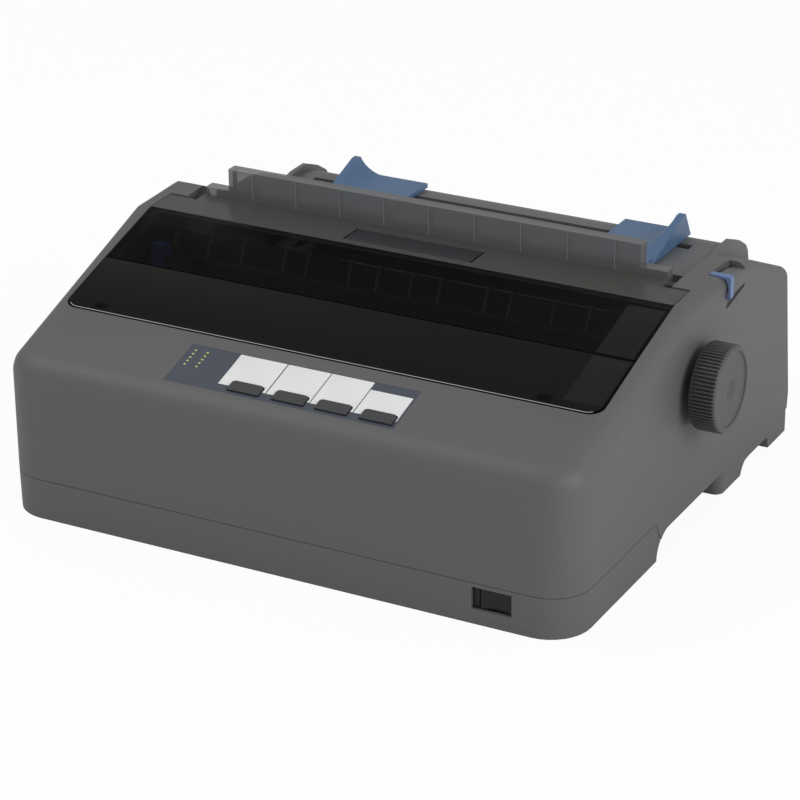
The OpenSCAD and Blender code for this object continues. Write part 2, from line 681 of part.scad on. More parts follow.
// Platen
module platen() place() color(black_col) difference() {
    rod_x(-platen_hl, platen_hl, platen_axis, platen_r);
    rod_x(-platen_hl - 1, platen_hl + 1, platen_axis, shaft_r);
}
knob_face_x = body_w / 2 + knob_reach;
module platen_shaft() place() color(steel_col) rod_x(gear_x - 3, knob_face_x - 6, platen_axis, shaft_r);
module platen_bushes() place() color(white_col) for (s = [-1, 1]) difference() {
    union() {
        rod_x(s * frame_x + (s > 0 ? 0 : -frame_t - 3), s * frame_x + (s > 0 ? frame_t + 3 : 0),
            platen_axis, bush_r);
        rod_x(s > 0 ? frame_x - 2 : -frame_x, s > 0 ? frame_x : -frame_x + 2, platen_axis, bush_r + 2);
    }
    rod_x(s * frame_x - 8, s * frame_x + 8, platen_axis, shaft_r + fit);
}
module platen_gear() place() color(white_col) translate([gear_x, platen_axis[0], platen_axis[1]])
    rotate([90, 0, 90])
    difference() {
        linear_extrude(gear_t) gear_2d(platen_teeth, gear_m, shaft_r);
        translate([0, 0, gear_t - 1.6]) difference() {
            cylinder(r = 16, h = 3);
            cylinder(r = 8, h = 3);
        }
    }
// The knob: ribbed rim, dished face with a raised edge and a centre dimple
module platen_knob() place() color(case_col) translate([knob_face_x, platen_axis[0], platen_axis[1]])
    rotate([0, -90, 0]) {
    difference() {
        union() {
            translate([0, 0, 1.2]) cylinder(r = knob_r - 0.6, h = knob_t - 1.2);
            cylinder(r1 = knob_r - 1.8, r2 = knob_r - 0.6, h = 1.2);
            for (i = [0:knob_ribs - 1]) rotate(i * 360 / knob_ribs) translate([knob_r - 0.9, -0.45, 2])
                cube([0.9, 0.9, knob_t - 2.6]);
        }
        translate([0, 0, -1]) cylinder(r = knob_r - 3.2, h = 1.8);
        cylinder(r = 1.8, h = 4, center = true);
        translate([0, 0, 6]) cylinder(r = shaft_r, h = knob_t);
        translate([0, 0, knob_t - 7]) difference() {
            cylinder(r = knob_r - 3, h = 10);
            cylinder(r = 8, h = 20, center = true);
        }
    }
}
module pinch_rollers() place() {
    color(black_col) for (x = pinch_x) rod_x(x - pinch_w / 2, x + pinch_w / 2, pinch_axis, pinch_r);
    color(steel_col) rod_x(-frame_x - 1.5, frame_x + 1.5, pinch_axis, 2);
}
chute_r = [14, 15.2];
module sector(r, a, b)
    polygon(concat([[0, 0]], [for (i = [0:12]) polar([0, 0], r, a + (b - a) * i / 12)]));
module paper_chute() place() color(steel_col) difference() {
    union() {
        along_x(-frame_x, frame_x) translate(platen_axis) intersection() {
            difference() {
                circle(chute_r[1]);
                circle(chute_r[0]);
            }
            sector(40, -155, 8);
        }
        along_x(-frame_x + 4, frame_x - 4)
            polygon([[159.7, 83.2], [161.0, 83.2], [172, 89.4], [172, 90.8], [159.7, 84.8]]);
    }
    for (x = pinch_x)
        block([x - pinch_w / 2 - 1, x + pinch_w / 2 + 1], [pinch_axis[0] - 8, pinch_axis[0] + 8],
            [60, 74]);
}
// The bar above the platen with its ribs
module ribbed_guide() place() color(black_col) {
    along_x(-frame_x, frame_x) polygon([[146, 97.2], [148.4, 97.2], [153.6, 107.4], [151.4, 108.6]]);
    for (x = rib_x) along_x(x - 0.8, x + 0.8)
        polygon([[147, 97], [158, 97.6], [158.6, 103], [152.4, 109.6], [150, 107]]);
}

// Paper feed gears
module feed_motor() place() {
    color(steel_col) difference() {
        union() {
            rod_x(-frame_x, -frame_x + 22, pinion_axis, 17.5);
            rod_x(-frame_x - frame_t, -frame_x, pinion_axis, 4.8);
        }
        rod_x(-frame_x - 4, -frame_x + 23, pinion_axis, 1.5 + fit);
    }
}
module motor_pinion() place() {
    color(white_col) translate([fine_x, pinion_axis[0], pinion_axis[1]]) rotate([90, 0, 90])
        linear_extrude(fine_t) gear_2d(pinion_teeth, fine_m, 1.4, pinion_turn);
    color(steel_col) rod_x(fine_x - 1, -frame_x + 20, pinion_axis, 1.5);
}
module reduction_gear() place() color(white_col) translate([0, reduction_axis[0], reduction_axis[1]])
    rotate([90, 0, 90])
    difference() {
        union() {
            translate([0, 0, fine_x]) linear_extrude(fine_t) gear_2d(big_teeth, fine_m, 1);
            translate([0, 0, gear_x]) linear_extrude(gear_t + 2)
                gear_2d(small_teeth, gear_m, 1, reduction_turn);
        }
        translate([0, 0, gear_x - 1]) cylinder(r = 2.5 + fit, h = 20);
    }
module idler_gear() place() color(white_col) translate([0, idler_axis[0], idler_axis[1]])
    rotate([90, 0, 90]) difference() {
    union() {
        translate([0, 0, gear_x]) linear_extrude(gear_t) gear_2d(idler_teeth, gear_m, 1, idler_turn);
        translate([0, 0, gear_x]) cylinder(r = 6, h = 10.4);
    }
    translate([0, 0, gear_x - 1]) cylinder(r = 3 + fit, h = 20);
}

// Carriage and its drive
carriage_hw = 22;
module carriage() place() color(black_col) difference() {
    union() {
        block([-carriage_hw, carriage_hw], [90, 122], [52, 72]);
        block([-8, 8], [80, 92], [54, 70]);
        block([-8, 8], [61, 92], [67, 71]);
        block([-8, 8], [61, 68.5], [64, 68]);
        block([-carriage_hw, -carriage_hw + 3], [96, 120], [70, 80]);
        block([carriage_hw - 3, carriage_hw], [96, 120], [70, 80]);
    }
    rod_x(-30, 30, rod_axis, rod_r + fit);
    block([-9, 9], [belt_y + pulley_r, belt_y + pulley_r + belt_t + 0.6],
        [belt_z - belt_w / 2 - 0.3, belt_z + belt_w / 2 + 0.3]);
    block([-9, 9], [79, belt_y + pulley_r + 0.3], [belt_z - 1, belt_z + 1]);
    block([-9, 9], [rail_y[0] - seat, rail_y[1] + seat], [50, rail_z + seat]);
    block([-17, 17], [108, 130], [46, 50]);
}
head_y = 131.4;
module print_head() place() {
    color(black_col) {
        block([-18, 18], [98, 120], [72, 98]);
        along_x(-9, 9)
            polygon([[119, 74], [128, 78], [head_y, 79.5], [head_y, 83.5], [128, 86], [119, 90]]);
    }
    color(steel_col) for (i = [0:5]) block([-18.6, 18.6], [99.4 + i * 3.4, 100.8 + i * 3.4], [74, 100]);
}
module carriage_motor() place() color(steel_col) difference() {
    translate([pulley_x, belt_y, sheet_z]) cylinder(r = 17.5, h = 50 - sheet_z);
    translate([pulley_x, belt_y, sheet_z + 4]) cylinder(r = 2.5 + fit, h = 40);
}
module pulley(x) translate([x, belt_y, 0]) {
    translate([0, 0, belt_z - belt_w / 2 - 0.6]) cylinder(r = pulley_r, h = belt_w + 1.2);
    for (z = [belt_z - belt_w / 2 - 1.6, belt_z + belt_w / 2 + 0.5]) translate([0, 0, z])
        cylinder(r = 9.8, h = 1.1);
}
module drive_pulley() place() {
    color(white_col) pulley(pulley_x);
    color(steel_col) translate([pulley_x, belt_y, sheet_z + 6])
        cylinder(r = 2.5, h = rail_z - sheet_z - 6);
}
module idler_pulley() place() color(white_col) difference() {
    union() {
        pulley(-pulley_x);
        translate([-pulley_x, belt_y, 50.3]) cylinder(r = 4.5, h = 8);
    }
    translate([-pulley_x, belt_y, 40]) cylinder(r = 2.5 + fit, h = 40);
}
module loop_2d(r) {
    for (s = [-1, 1]) translate([s * pulley_x, belt_y]) circle(r);
    translate([-pulley_x, belt_y - r]) square([2 * pulley_x, 2 * r]);
}
module timing_belt() place() color(black_col) translate([0, 0, belt_z - belt_w / 2])
    linear_extrude(belt_w) difference() {
    loop_2d(pulley_r + 0.3 + belt_t);
    loop_2d(pulley_r + 0.3);
}

// Ribbon
arm_x = [126, 134];
module ribbon_cartridge() place() color(black_col) difference() {
    union() {
        along_x(-arm_x[1], arm_x[1])
            polygon([[54, 84], [96, 84], [96, 104], [92, 105], [56, 95], [54, 93]]);
        for (s = [-1, 1]) along_x(s > 0 ? arm_x[0] : -arm_x[1], s > 0 ? arm_x[1] : -arm_x[0])
            polygon([[90, 84], [118, 77], [131.4, 77], [131.4, 88], [120, 92], [94, 100]]);
        for (s = [-1, 1])
            block(s > 0 ? [arm_x[1] - 2, frame_x + frame_t] : [-frame_x - frame_t, -arm_x[1] + 2],
            [66, 92], [82, 86]);
    }
    translate([-95, 76, 92]) cylinder(r = 12, h = 30);
    translate([-95, 76, 88]) cylinder(r = 3 + fit, h = 30);
    along_x(-100, 120) polygon([[62, 100], [92, 107.6], [92, 112], [62, 112]]);
}
module ribbon() place() color([0.05, 0.05, 0.07])
    block([-arm_x[1] + 1, arm_x[1] - 1], [131.6, 131.9], [77.5, 87.5]);
module ribbon_knob() place() color(blue_col) translate([-95, 76, 0]) difference() {
    union() {
        translate([0, 0, 88.4]) cylinder(r = 3, h = 5);
        translate([0, 0, 92.4]) cylinder(r = 9, h = 9);
        for (i = [0:11]) rotate(i * 30) translate([8.4, -0.8, 93]) cube([1.4, 1.6, 8.4]);
    }
    translate([0, 0, 99.6]) cylinder(r = 6.5, h = 5);
}

// Tractors
module tractor_shaft() place() {
    color(steel_col) {
        rod_x(gear_x - 2, frame_x + 3, tractor_axis, 3.5);
        along_x(-frame_x + 3, frame_x - 3) translate(tractor_axis) square(7, center = true);
    }
    color(white_col) translate([gear_x, tractor_axis[0], tractor_axis[1]]) rotate([90, 0, 90])
        linear_extrude(gear_t) gear_2d(tractor_teeth, gear_m, 3, tractor_turn);
}
module tractor_rod() place() color(steel_col)
    rod_x(-frame_x - 2, frame_x + 2, tractor_rod_axis, 3 - eps);
top_z = tractor_axis[1] + drum_r + 0.2; // paper level on the tractors
hub_r = 7;
flap_w = 20;
flap_y = [186, 226];
flap_axis_z = top_z + 1.6;
tractor_line = [[184, 66], [232, 66], [232, top_z - 6], [226, top_z], [186, top_z], [184, top_z - 2]];
module tractor_body(x, s) place() color(case_col * 0.7) {
    outer = x + s * tractor_w / 2;
    difference() {
        union() {
            along_x(x - tractor_w / 2, x + tractor_w / 2) polygon(tractor_line);
            for (y = [flap_y[0], flap_y[1] - 6])
                block(s > 0 ? [outer - 3, outer] : [outer, outer + 3], [y, y + 6],
                    [top_z - 2, flap_axis_z]);
            for (y = [flap_y[0], flap_y[1] - 6]) translate([outer - s * 1.5, y, flap_axis_z])
                rotate([-90, 0, 0]) cylinder(r = 1.5, h = 6);
        }
        rod_x(x - 8, x + 8, tractor_axis, 14.6);
        rod_x(x - tractor_w, x + tractor_w, tractor_axis, hub_r + fit);
        rod_x(x - tractor_w, x + tractor_w, tractor_rod_axis, 3 + fit);
        along_x(x - 8, x + 8) polygon([[194, top_z - 9], [215.4, top_z - 9], [215.4, 100], [194, 100]]);
    }
}
module tractor_left() tractor_body(tractor_x[0], -1);
module tractor_right() tractor_body(tractor_x[1], 1);
module sprocket(x) place() color(white_col) difference() {
    union() {
        rod_x(x - 7.6, x + 7.6, tractor_axis, drum_r);
        rod_x(x - tractor_w / 2, x + tractor_w / 2, tractor_axis, hub_r);
        for (i = [0:sprocket_pins - 1]) translate([x, tractor_axis[0], tractor_axis[1]])
            rotate([i * 360 / sprocket_pins, 0, 0])
            translate([0, 0, drum_r - 1]) cylinder(r1 = 1.9, r2 = 1.2, h = 4.6, $fn = 24);
    }
    along_x(x - tractor_w, x + tractor_w) translate(tractor_axis) square(7 + 2 * fit, center = true);
}
module sprocket_left() sprocket(tractor_x[0]);
module sprocket_right() sprocket(tractor_x[1]);
// The flap's hinge sleeve turns on a pin between the two knuckles
module tractor_flap(x, s) place() color(case_col) {
    outer = x + s * (tractor_w / 2 - 1.5);
    difference() {
        union() {
            block(s > 0 ? [outer - flap_w, outer] : [outer, outer + flap_w],
                [flap_y[0] + 6.3, flap_y[1] - 6.3],
                [flap_axis_z - 1, flap_axis_z + 1]);
            block(s > 0 ? [outer - flap_w, outer - 3.2] : [outer + 3.2, outer + flap_w], flap_y,
                [flap_axis_z - 1, flap_axis_z + 1]);
            translate([outer, flap_y[0] + 6.3, flap_axis_z]) rotate([-90, 0, 0])
                cylinder(r = 1.5, h = flap_y[1] - flap_y[0] - 12.6);
        }
        block([x - 3, x + 3], [tractor_axis[0] - 10, tractor_axis[0] + 10], [80, 100]);
    }
}
module tractor_flap_left() tractor_flap(tractor_x[0], -1);
module tractor_flap_right() tractor_flap(tractor_x[1], 1);

// Cover
ear_x = [riser_hw - 3.5, riser_hw];
module printer_cover() place() color(tint_col) difference() {
    union() {
        on_slope() translate([0, cover_u, -cover_t]) linear_extrude(cover_t)
            front_rounded(2 * cover_hw, -cover_u, cover_corner_r);
        block([-cover_hw, cover_hw], [bend_y - eps, cover_end_y], [bend_z - cover_t, bend_z]);
        block([-riser_hw, riser_hw], [cover_end_y - eps, riser_y + riser_d], [bend_z - cover_t, bend_z]);
        block([-riser_hw, riser_hw], [riser_y, riser_y + riser_d], [bend_z - cover_t, riser_z]);
        for (s = [-1, 1]) {
            ear = s > 0 ? ear_x : [-ear_x[1], -ear_x[0]];
            rod_x(ear[0], ear[1], cover_axis, 4.6);
            block(ear, [cover_axis[0] - 4.6, riser_y + riser_d], [cover_axis[1], bend_z]);
        }
        on_slope() for (x = [-133.5, 123]) for (i = [0:3])
            translate([x - 3.4 + 2 * i, cover_u + 3, -eps]) cube([0.9, 4, 0.5]);
    }
    for (s = [-1, 1])
        rod_x(s > 0 ? ear_x[0] - 1 : -ear_x[1] - 1, s > 0 ? ear_x[1] + 1 : -ear_x[0] + 1, cover_axis,
            pin_r + fit);
    block([-ear_x[0] + 2, ear_x[0] - 2], [riser_y + 2, riser_y + riser_d - 2],
        [bend_z - cover_t - 1, riser_z - 2]);
}
plate_y = [167.2, 168.8];
flange_y = 174; // rear edge of the flange along the top of the plate
module cover_plate() place() color([0.5, 0.5, 0.5, 0.6]) {
    block([-plate_hw, plate_hw], plate_y, [riser_z, plate_top]);
    block([-plate_hw, plate_hw], [plate_y[0], flange_y], [plate_top - 1.6, plate_top]);
    for (s = [-1, 1])
        block(s > 0 ? [plate_hw - 1.6, plate_hw] : [-plate_hw, -plate_hw + 1.6], [plate_y[0], 173.8],
            [riser_z, plate_top - 1]);
    pitch = (2 * plate_hw - 30) / (plate_ribs - 1);
    for (i = [0:plate_ribs - 1])
        along_x(-plate_hw + 15 + i * pitch - 0.6, -plate_hw + 15 + i * pitch + 0.6)
            polygon([[plate_y[1] - 0.1, riser_z], [173, riser_z], [plate_y[1] + 1, plate_top - 1.5],
                [plate_y[1] - 0.1, plate_top - 1.5]]);
}

// Paper guide
slot_x = [-104, 125];
slot_y = [224, 230];
cheek_t = 3;
cheek_line = [[187.5, guide_z], [205, guide_z], [224, guide_z + 3.5], [238, guide_z + 3.7],
    [250.7, guide_z - 1.2], [260, guide_z - 6.9], [263, 108], [264.6, 101], [258.5, 101], [252, 107],
    [238, 113.5], [200, 114], [197, 104.5], [187.5, 104.5]];
module paper_guide() place() color(case_col) difference() {
    union() {
        along_x(guide_x[0] + cheek_t, guide_x[1] - cheek_t) {
            translate([guide_start_y + 1, guide_z - guide_t])
                square([guide_arc_y - guide_start_y - 1, guide_t]);
            translate([guide_arc_y, guide_z - guide_arc_r]) intersection() {
                difference() {
                    circle(guide_arc_r, $fn = 96);
                    circle(guide_arc_r - guide_t, $fn = 96);
                }
                polygon([[0, 0], polar([0, 0], 60, 90 - guide_arc_deg), [60, 60], [0, 60]]);
            }
        }
        for (x = [guide_x[0], guide_x[1] - cheek_t]) along_x(x, x + cheek_t) polygon(cheek_line);
        block([guide_x[0] + cheek_t, guide_x[1] - cheek_t], [guide_start_y + 1, guide_start_y + 3],
            [113.6, guide_z - 1]);
    }
    for (x = [guide_x[0] - 1, guide_x[1] - cheek_t - 1])
        rod_x(x, x + cheek_t + 2, guide_axis, pin_r + fit);
    block(slot_x, slot_y, [100, 130]);
}
// An edge guide is a fin that sweeps in a hollow curve into a flat foot on the paper guide
fin_line = [[190, guide_z + seat], [232.5, 134], [236, 134], [243.5, guide_z + seat]];
foot_t = 2.5; // thickness of the flat foot
sweep_r = 12; // radius of the hollow curve
module edge_guide(fin, flat, tongue, s) place() color(blue_col) {
    along_x(fin[0], fin[1]) polygon(fin_line);
    root = s > 0 ? fin[1] : fin[0];
    intersection() {
        along_x(min(fin[0], root - sweep_r), max(fin[1], root + sweep_r)) polygon(fin_line);
        along_y(180, 250) polygon(concat([[root - s, guide_z + seat]], [for (a = [0:10:90])
            [root + s * sweep_r * (1 - sin(a)), guide_z + seat + foot_t - eps + sweep_r * (1 - cos(a))]],
            [[root - s, guide_z + seat + foot_t + sweep_r]]));
    }
    block(flat, [190, 243], [guide_z + seat, guide_z + seat + foot_t]);
    block(tongue, [slot_y[0] + seat, slot_y[1] - seat], [114, guide_z + 1]);
    block(tongue, [slot_y[0] - 3, slot_y[1] + 3], [114, guide_z - guide_t - seat]);
}
module edge_guide_left()
    edge_guide([edge_left_x - 2, edge_left_x + 1.8], [edge_left_x, edge_left_x + 40],
    [edge_left_x + 10, edge_left_x + 30], 1);
module edge_guide_right()
    edge_guide([edge_right_x - 1.8, edge_right_x + 2], [edge_right_x - 36, edge_right_x],
    [edge_right_x - 28, edge_right_x - 8], -1);

// Levers
module release_lever() place() color(blue_col) {
    along_x(lever_x[0], lever_x[1]) difference() {
        union() {
            translate(release_pivot) circle(8);
            polygon([[178, 42], [188, 42], [lever_y[1], lever_top], [lever_y[0], lever_top]]);
        }
        translate(release_pivot) circle(3 + fit);
    }
    along_y(lever_y[0], lever_y[1]) difference() {
        union() {
            translate([lever_x[1] - 1, 114])
                square([body_w / 2 + 0.6 - lever_x[1] + 1, lever_top - 114]);
            translate([body_w / 2 + 0.6, 115.2]) square([1.8, lever_top - 115.2 - 1.4]);
            translate([body_w / 2 + 1, lever_top - 1.4]) circle(1.4);
            translate([body_w / 2 + 0.6 + 0.9, 115.2]) circle(0.9);
        }
        translate([body_w / 2 - side_r, crest_z - side_r]) intersection() {
            circle(side_r + 1.2);
            translate([-20, -20]) square([40, 20 + lever_under - crest_z + side_r]);
        }
        translate([lever_x[1], 110]) square([body_w / 2 - side_r - lever_x[1], lever_under - 110]);
        translate([lever_x[1], 100]) square([body_w / 2 + 0.5 - lever_x[1], lever_top - 7 - 100]);
    }
}
module thickness_lever() place() color(blue_col) difference() {
    union() {
        along_x(-frame_x + 1.5, -frame_x + 5.5) {
            translate(lever_pivot) circle(6);
            polygon([[114, 84], [122, 84], [121, 108], [116, 108]]);
        }
        block([-frame_x + 1.5, -frame_x + 10], [115.5, 121.5], [106, 113.5]);
    }
    rod_x(-frame_x - 1, -frame_x + 8, lever_pivot, 2 + fit);
}

lower_case();
upper_case();
rubber_feet();
chassis_screws();
base_plate();
frame_left();
frame_right();
carriage_rod();
main_board();
power_board();
transformer();
ac_inlet();
parallel_connector();
serial_connector();
usb_connector();
switch_housing();
power_rocker();
panel_label();
panel_board();
indicator_lights();
button_1();
button_2();
button_3();
button_4();
platen();
platen_shaft();
platen_knob();
platen_gear();
platen_bushes();
feed_motor();
motor_pinion();
reduction_gear();
idler_gear();
pinch_rollers();
paper_chute();
ribbed_guide();
carriage();
print_head();
carriage_motor();
drive_pulley();
idler_pulley();
timing_belt();
ribbon_cartridge();
ribbon();
ribbon_knob();
tractor_shaft();
tractor_rod();
tractor_left();
tractor_right();
sprocket_left();
sprocket_right();
tractor_flap_left();
tractor_flap_right();
printer_cover();
cover_plate();
paper_guide();
edge_guide_left();
edge_guide_right();
release_lever();
thickness_lever();
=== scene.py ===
"""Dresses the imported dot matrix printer: finishes, soft edges, and the small pieces that CAD leaves out.

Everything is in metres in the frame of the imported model: +X to the right as the user faces the printer,
+Y to the back, +Z up, with the floor at zero. Places are worked out in the drawing's millimetres first,
where the front face is at y = 0 and the middle of the body at x = 0.
"""

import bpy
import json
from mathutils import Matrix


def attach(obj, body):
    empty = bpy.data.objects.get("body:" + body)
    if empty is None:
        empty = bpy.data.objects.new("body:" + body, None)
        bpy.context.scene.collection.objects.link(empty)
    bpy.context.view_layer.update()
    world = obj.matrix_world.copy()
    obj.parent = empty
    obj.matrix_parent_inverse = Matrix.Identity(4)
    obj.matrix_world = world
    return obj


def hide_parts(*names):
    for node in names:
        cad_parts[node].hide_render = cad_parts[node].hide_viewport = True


bl_info = {
    "name": "Dot matrix printer",
    "version": (1, 0, 0),
    "blender": (4, 5, 0),
    "location": "3D View > Sidebar > Printer",
    "description": "Builds the looks of a dot matrix printer round its packed parts",
    "category": "Object",
}

import json
import math

import bmesh
import bpy
import numpy as np
from bpy.props import FloatProperty, FloatVectorProperty, IntProperty, PointerProperty
from mathutils import Matrix, Vector

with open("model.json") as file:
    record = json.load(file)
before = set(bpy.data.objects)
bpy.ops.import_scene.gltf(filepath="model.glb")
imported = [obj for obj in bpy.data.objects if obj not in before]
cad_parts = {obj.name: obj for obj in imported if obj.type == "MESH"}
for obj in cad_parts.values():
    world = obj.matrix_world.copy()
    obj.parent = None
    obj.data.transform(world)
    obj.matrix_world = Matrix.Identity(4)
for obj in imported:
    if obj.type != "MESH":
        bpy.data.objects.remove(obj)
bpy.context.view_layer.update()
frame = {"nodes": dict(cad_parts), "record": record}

MM = 0.001
# Points nearer than this, in metres, are merged
WELD = 1e-6
# Shift from the drawing's places to the frame, in millimetres
SHIFT = np.array([-9.5, -140.5, 0.0])
# Slope of the top, and the bend where it meets the flat strip behind the cover
SLOPE = math.radians(15.5)
BEND = np.array([0.0, 137.0, 125.5])
# Cover: y of its front edge, half its width, radius of its corners, and the seam across it, which is
# measured along the slope from the bend
COVER_FRONT_Y = 48.4
COVER_HALF = 154.0
COVER_CORNER = 8.0
SEAM_U = -48.3
# Front of the upright bar that carries the plate
RISER_Y = 167.0
# Fine lines on the plate: x of the first, step to the next, number, width, and the height where they end
FIRST_LINE_X = -107.8
LINE_STEP = 26.95
LINE_COUNT = 9
LINE_WIDTH = 0.4
LINE_TOP = 141.6
# Platen axis (y, z), and the knob on it: x of its outer end, its radius and its depth
PLATEN = (145.8, 81.5)
KNOB_END = 183.5
KNOB_R = 23.1
KNOB_DEPTH = 14.5
# Middles of the ribs of the guide bar
RIB_X = np.array([-125, -104, -78, -64, -38, -21, -1, 16, 43, 57, 82, 102])


# Places and meshes


def place(points):
    """Millimetres in the drawing to metres in the frame: add the shift, divide by a thousand."""
    return (np.asarray(points, float) + SHIFT) * MM


def on_slope(points):
    """Turns points (x, u along the slope from the bend, v out of the slope) to the drawing's millimetres:
    (x, u cos s - v sin s, u sin s + v cos s) plus the bend, where s is the slope's angle."""
    x, u, v = np.moveaxis(np.asarray(points, float), -1, 0)
    c, s = math.cos(SLOPE), math.sin(SLOPE)
    return np.stack([x, u * c - v * s, u * s + v * c], -1) + BEND


def upright(points):
    """Turns points (x, z, -y) to the drawing's order (x, y, z)."""
    return np.asarray(points, float)[..., [0, 2, 1]] * (1, -1, 1)


def along_bar(points):
    """Turns points (y, z, x) to the drawing's order (x, y, z)."""
    return np.asarray(points, float)[..., [2, 0, 1]]


def on_flat(points):
    """Turns points (x, behind the bend, above the strip) to the drawing's millimetres by adding the bend."""
    return np.asarray(points, float) + BEND


def slope_u(y):
    """Distance along the slope from the bend to the place with that y: the step in y over cos s."""
    return (y - BEND[1]) / math.cos(SLOPE)


def link(name, mesh, material, body, replaces=()):
    """Makes the object and gives it its material, its body and the nodes that it stands for."""
    obj = bpy.data.objects.new(name, mesh)
    bpy.context.scene.collection.objects.link(obj)
    mesh.materials.clear()
    mesh.materials.append(material)
    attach(obj, body)
    if replaces:
        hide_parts(*replaces)
    return obj


def ring_faces(rings, n):
    """Four-sided faces between neighbouring rings of n points each, every ring joined end to end."""
    a, b = np.meshgrid(np.arange(rings - 1), np.arange(n), indexing="ij")
    b2 = (b + 1) % n
    return np.stack([a * n + b, (a + 1) * n + b, (a + 1) * n + b2, a * n + b2], -1).reshape(-1, 4).tolist()


def mesh_of(name, points, faces, smooth_deg):
    """A mesh from places in metres and lists of corners, welded, with its faces turned outwards and its
    edges sharp where faces meet at more than the angle."""
    mesh = bpy.data.meshes.new(name)
    mesh.from_pydata(points.tolist(), [], faces)
    tidy_mesh(mesh, WELD, outwards=True)
    soften(mesh, smooth_deg)
    return mesh


def tidy_mesh(mesh, weld, outwards=False, flat_deg=0.0):
    """Merges points nearer than the weld and drops faces without area. Where it is asked for, joins faces
    that lie in one plane to within flat_deg, and turns all faces outwards."""
    bm = bmesh.new()
    bm.from_mesh(mesh)
    bmesh.ops.remove_doubles(bm, verts=bm.verts, dist=weld)
    bmesh.ops.dissolve_degenerate(bm, edges=bm.edges, dist=weld)
    if flat_deg:
        bmesh.ops.dissolve_limit(bm, angle_limit=math.radians(flat_deg), verts=bm.verts, edges=bm.edges)
    if outwards:
        bmesh.ops.recalc_face_normals(bm, faces=bm.faces)
    bm.to_mesh(mesh)
    bm.free()


def soften(mesh, smooth_deg):
    """Smooth shading, with sharp edges where faces meet at more than the angle."""
    mesh.shade_smooth()
    mesh.set_sharp_from_angle(angle=math.radians(smooth_deg))


def bevel(obj, width_mm, segments, angle_deg):
    """A small rounded edge of that width on every edge sharper than the angle. Returns its modifier."""
    mod = obj.modifiers.new("soft_edges", "BEVEL")
    mod.width = width_mm * MM
    mod.segments = segments
    mod.limit_method = "ANGLE"
    mod.angle_limit = math.radians(angle_deg)
    mod.use_clamp_overlap = True
    mod.harden_normals = True
    return mod


def body_of(node):
    """The body that the node belongs to."""
    for body, nodes in frame["record"]["behaviour"]["bodies"].items():
        if node in nodes:
            return body
    raise RuntimeError(f"no body holds {node}")


def dress(node, material, width_mm, smooth_deg=28.0, segments=2, edge_material=None):
    """A merged copy of the node with smooth shading, which stands for the node. It gets soft edges unless
    their width is zero, and they get a finish of their own where one is given."""
    mesh = frame["nodes"][node].data.copy()
    mesh.name = node + "_skin"
    tidy_mesh(mesh, 2 * WELD, flat_deg=0.4)
    soften(mesh, smooth_deg)
    obj = link(mesh.name, mesh, material, body_of(node), (node,))
    if width_mm:
        edges = bevel(obj, width_mm, segments, max(smooth_deg, 30.0))
        if edge_material is not None:
            mesh.materials.append(edge_material)
            edges.material = len(mesh.materials) - 1
    return obj


def paint(node, material):
    """Gives a node that keeps its shape its material."""
    mesh = frame["nodes"][node].data
    mesh.materials.clear()
    mesh.materials.append(material)


def second_finish(obj, material, chosen):
    """Gives the material to the faces whose middle passes the test. The test gets x, y and z of all middles
    in the drawing's millimetres."""
    mesh = obj.data
    mesh.materials.append(material)
    middles = np.empty(3 * len(mesh.polygons))
    mesh.polygons.foreach_get("center", middles)
    index = np.empty(len(mesh.polygons), np.int32)
    mesh.polygons.foreach_get("material_index", index)
    index[chosen(*(middles.reshape(-1, 3) / MM - SHIFT).T)] = len(mesh.materials) - 1
    mesh.polygons.foreach_set("material_index", index)


def join_meshes(name, meshes):
    """One mesh that holds all the given ones, which are removed."""
    bm = bmesh.new()
    for m in meshes:
        bm.from_mesh(m)
        bpy.data.meshes.remove(m)
    out = bpy.data.meshes.new(name)
    bm.to_mesh(out)
    bm.free()
    return out


def oblong(x0, x1, u0, u1):
    """Corners of an oblong from x0 to x1 and from u0 to u1."""
    return [(x0, u0), (x1, u0), (x1, u1), (x0, u1)]


def tablet(name, outline, low, high, to_place, edge):
    """A flat piece on an outline that runs anticlockwise, from low to high along the third axis, closed by
    one face at each end. Its top edge is rounded with the radius edge: at the angles a of 30, 60 and 90
    degrees a ring lies edge (1 - cos a) inside the outline, at the height high - edge + edge sin a. Inside
    is square to the line from the point before to the point after."""
    outline = np.asarray(outline, float)
    tangent = np.roll(outline, -1, 0) - np.roll(outline, 1, 0)
    outside = np.stack([tangent[:, 1], -tangent[:, 0]], -1)
    outside /= np.maximum(np.linalg.norm(outside, axis=1, keepdims=True), 1e-12)
    rings = [(0.0, low), (0.0, high - edge)]
    for a in np.linspace(0, math.pi / 2, 4)[1:]:
        rings.append((edge * (1 - math.cos(a)), high - edge + edge * math.sin(a)))
    n = len(outline)
    points = [np.column_stack([outline - outside * inset, np.full(n, height)]) for inset, height in rings]
    last = (len(rings) - 1) * n
    faces = ring_faces(len(rings), n) + [list(range(n))[::-1], list(range(last, last + n))]
    return mesh_of(name, place(to_place(np.concatenate(points))), faces, smooth_deg=35.0)


def turned(name, profile, centre, n, ribs, rib_depth):
    """A turned piece: the profile of (radius, x, share) goes round an axis along X through the centre (y, z)
    in n steps. At the angle a the radius is less by rib_depth * share * w, where w is
    0.5 - 0.9 cos(ribs * a), held between 0 and 1."""
    r, x, share = np.array(profile, float).T[:, :, None]
    a = np.linspace(0, 2 * math.pi, n, endpoint=False)
    wave = np.clip(0.5 - 0.9 * np.cos(ribs * a), 0, 1)
    r = r - rib_depth * wave * share
    points = np.stack([np.repeat(x, n, 1), centre[0] + r * np.cos(a), centre[1] + r * np.sin(a)], -1)
    return mesh_of(name, place(points.reshape(-1, 3)), ring_faces(len(profile), n), smooth_deg=40.0)


# Finishes


